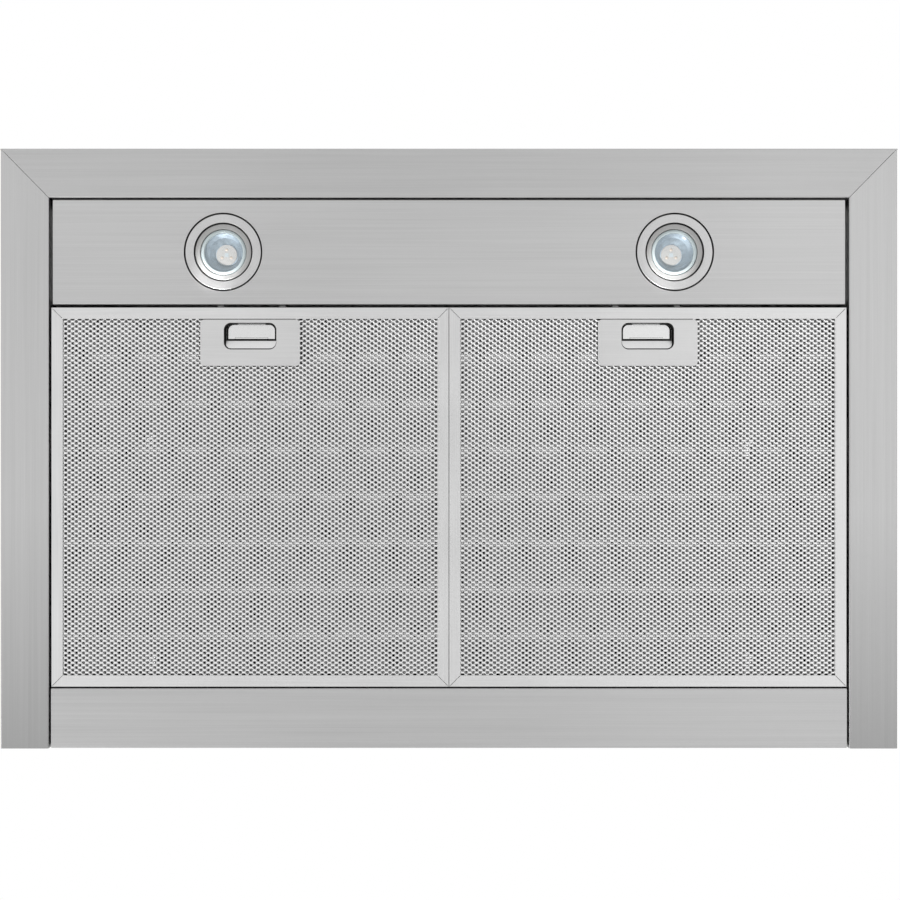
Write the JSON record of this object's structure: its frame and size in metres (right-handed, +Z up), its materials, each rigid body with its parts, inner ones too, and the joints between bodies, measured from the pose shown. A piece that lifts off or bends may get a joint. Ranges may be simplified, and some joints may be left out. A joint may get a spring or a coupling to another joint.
{
  "type": "under cabinet range hood",
  "caption": "Under-cabinet range hood with a mitred steel rim, front light panel with round lamps, drop-down mesh grease filters with latches, and a blower to a rectangular duct collar.",
  "frame": {"origin": "centre of the flat top face that meets the cabinet", "axes": "+Z up out of the top, +X along the hood's width, +Y towards the wall, -Y to the front"},
  "size_m": [0.7596, 0.5103, 0.2],
  "materials": {
    "brushed_steel_body": "brushed satin",
    "galvanised_sheet": "matt zinc",
    "filter_aluminium": "satin",
    "filter_mesh": "bright expanded metal",
    "lamp_trim": "satin",
    "lamp_housing": "gloss",
    "lamp_glass": "clear",
    "led": "matt",
    "ceramic": "matt",
    "zinc_plated": "bright zinc",
    "black_plastic": "matt",
    "button": "satin",
    "motor_paint": "satin",
    "capacitor_can": "satin"
  },
  "bodies": {
    "housing": {"front_panel": "brushed_steel_body", "left_side_panel": "brushed_steel_body", "right_side_panel": "brushed_steel_body", "top_panel": "brushed_steel_body", "light_panel": "brushed_steel_body", "rear_trim_panel": "brushed_steel_body", "back_panel": "galvanised_sheet", "duct_collar": "galvanised_sheet", "left_blower_housing": "galvanised_sheet", "right_blower_housing": "galvanised_sheet", "motor_bracket": "galvanised_sheet", "junction_box": "galvanised_sheet", "junction_box_cover": "galvanised_sheet", "left_lamp_trim_ring": "lamp_trim", "right_lamp_trim_ring": "lamp_trim", "left_lamp_body": "lamp_housing", "right_lamp_body": "lamp_housing", "left_lamp_lens": "lamp_glass", "right_lamp_lens": "lamp_glass", "left_led_module": "led", "right_led_module": "led", "left_lamp_socket": "ceramic", "right_lamp_socket": "ceramic", "damper_rod": "zinc_plated", "collar_screw_front_left": "zinc_plated", "collar_screw_front_right": "zinc_plated", "collar_screw_rear_left": "zinc_plated", "collar_screw_rear_right": "zinc_plated", "bracket_screw_front": "zinc_plated", "bracket_screw_rear": "zinc_plated", "box_screw_left": "zinc_plated", "box_screw_right": "zinc_plated", "switch_bezel": "black_plastic", "switch_body": "black_plastic", "conduit_bushing": "black_plastic", "motor_body": "motor_paint", "capacitor": "capacitor_can"},
    "left_filter": {"left_filter_frame": "filter_aluminium", "left_filter_mesh": "filter_mesh", "left_filter_core": "filter_mesh", "left_handle_plate": "filter_aluminium", "left_latch_spring": "zinc_plated"},
    "right_filter": {"right_filter_frame": "filter_aluminium", "right_filter_mesh": "filter_mesh", "right_filter_core": "filter_mesh", "right_handle_plate": "filter_aluminium", "right_latch_spring": "zinc_plated"},
    "left_latch": {"left_latch": "filter_aluminium"},
    "right_latch": {"right_latch": "filter_aluminium"},
    "rotor": {"motor_shaft": "zinc_plated", "left_impeller": "galvanised_sheet", "right_impeller": "galvanised_sheet"},
    "front_flap": {"front_damper_flap": "galvanised_sheet"},
    "rear_flap": {"rear_damper_flap": "galvanised_sheet"},
    "light_button": {"light_button": "button"},
    "off_button": {"off_button": "button"},
    "low_button": {"low_button": "button"},
    "medium_button": {"medium_button": "button"},
    "high_button": {"high_button": "button"}
  },
  "joints": [
    {"name": "left_filter_drop", "type": "hinge", "parent": "housing", "child": "left_filter", "pos_m": [-0.16842, 0.1003, -0.1492], "axis": [1, 0, 0], "range_deg": [0, 45]},
    {"name": "left_latch_slide", "type": "slide", "parent": "left_filter", "child": "left_latch", "axis": [0, 1, 0], "range_m": [0, 0.0045], "stiffness_N_per_m": 200, "deforming": ["left_latch_spring"]},
    {"name": "right_filter_drop", "type": "hinge", "parent": "housing", "child": "right_filter", "pos_m": [0.16842, 0.1003, -0.1492], "axis": [1, 0, 0], "range_deg": [0, 45]},
    {"name": "right_latch_slide", "type": "slide", "parent": "right_filter", "child": "right_latch", "axis": [0, 1, 0], "range_m": [0, 0.0045], "stiffness_N_per_m": 200, "deforming": ["right_latch_spring"]},
    {"name": "rotor_spin", "type": "hinge", "parent": "housing", "child": "rotor", "pos_m": [0, 0.04, -0.062], "axis": [1, 0, 0], "continuous": true},
    {"name": "front_flap_swing", "type": "hinge", "parent": "housing", "child": "front_flap", "pos_m": [0, 0.08, 0.009], "axis": [-1, 0, 0], "range_deg": [0, 75]},
    {"name": "rear_flap_swing", "type": "hinge", "parent": "housing", "child": "rear_flap", "pos_m": [0, 0.08, 0.009], "axis": [1, 0, 0], "range_deg": [0, 75]},
    {"name": "light_button_press", "type": "slide", "parent": "housing", "child": "light_button", "axis": [0, 1, 0], "range_m": [0, 0.002], "stiffness_N_per_m": 500},
    {"name": "off_button_press", "type": "slide", "parent": "housing", "child": "off_button", "axis": [0, 1, 0], "range_m": [0, 0.002], "stiffness_N_per_m": 500},
    {"name": "low_button_press", "type": "slide", "parent": "housing", "child": "low_button", "axis": [0, 1, 0], "range_m": [0, 0.002], "stiffness_N_per_m": 500},
    {"name": "medium_button_press", "type": "slide", "parent": "housing", "child": "medium_button", "axis": [0, 1, 0], "range_m": [0, 0.002], "stiffness_N_per_m": 500},
    {"name": "high_button_press", "type": "slide", "parent": "housing", "child": "high_button", "axis": [0, 1, 0], "range_m": [0, 0.002], "stiffness_N_per_m": 500}
  ]
}
